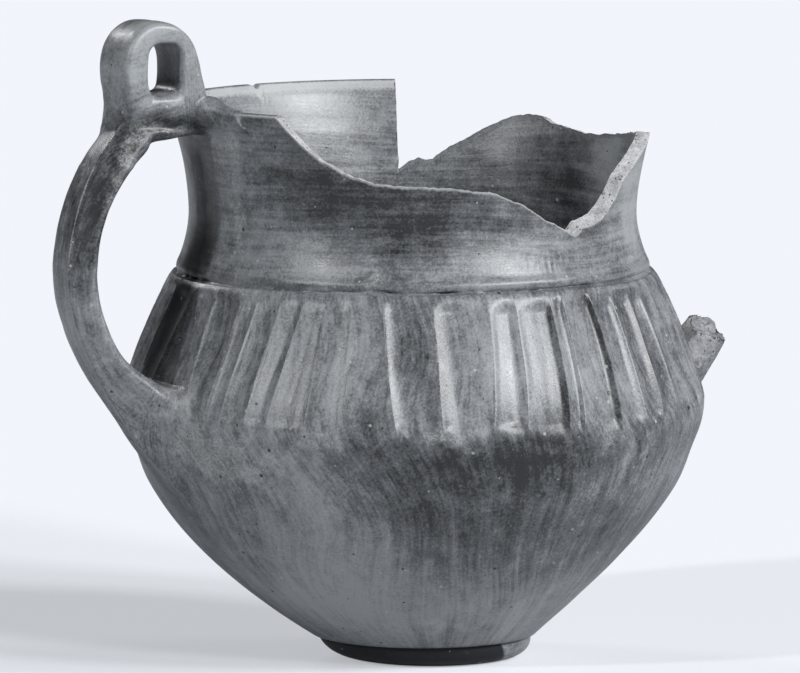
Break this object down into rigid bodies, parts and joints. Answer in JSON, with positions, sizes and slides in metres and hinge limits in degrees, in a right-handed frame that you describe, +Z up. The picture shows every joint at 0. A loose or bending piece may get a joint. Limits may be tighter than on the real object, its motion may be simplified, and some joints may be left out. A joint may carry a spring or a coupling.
{
  "type": "handled pot",
  "caption": "Hand-built burnished pot with a low foot, fluted conical shoulder, flaring broken neck, strap handle with a pierced eye on top, and the stump of a second handle.",
  "frame": {"origin": "on the pot's axis, in the plane that the foot rests on", "axes": "+Z up along the pot's axis, -X towards the whole handle, +X towards the broken one, +Y square to both"},
  "size_m": [0.3153, 0.2436, 0.2708],
  "materials": {
    "burnished_clay": "burnished, reduction-fired grey-black, worn and scratched",
    "broken_clay": "rough pale broken face with dark grit"
  },
  "bodies": {
    "root": {"foot_disc": "burnished_clay", "bowl_wall": "burnished_clay", "fluted_shoulder": "burnished_clay", "neck_wall": "burnished_clay", "strap_handle": "burnished_clay", "handle_eye": "burnished_clay", "second_handle_stump": "broken_clay"}
  },
  "joints": []
}
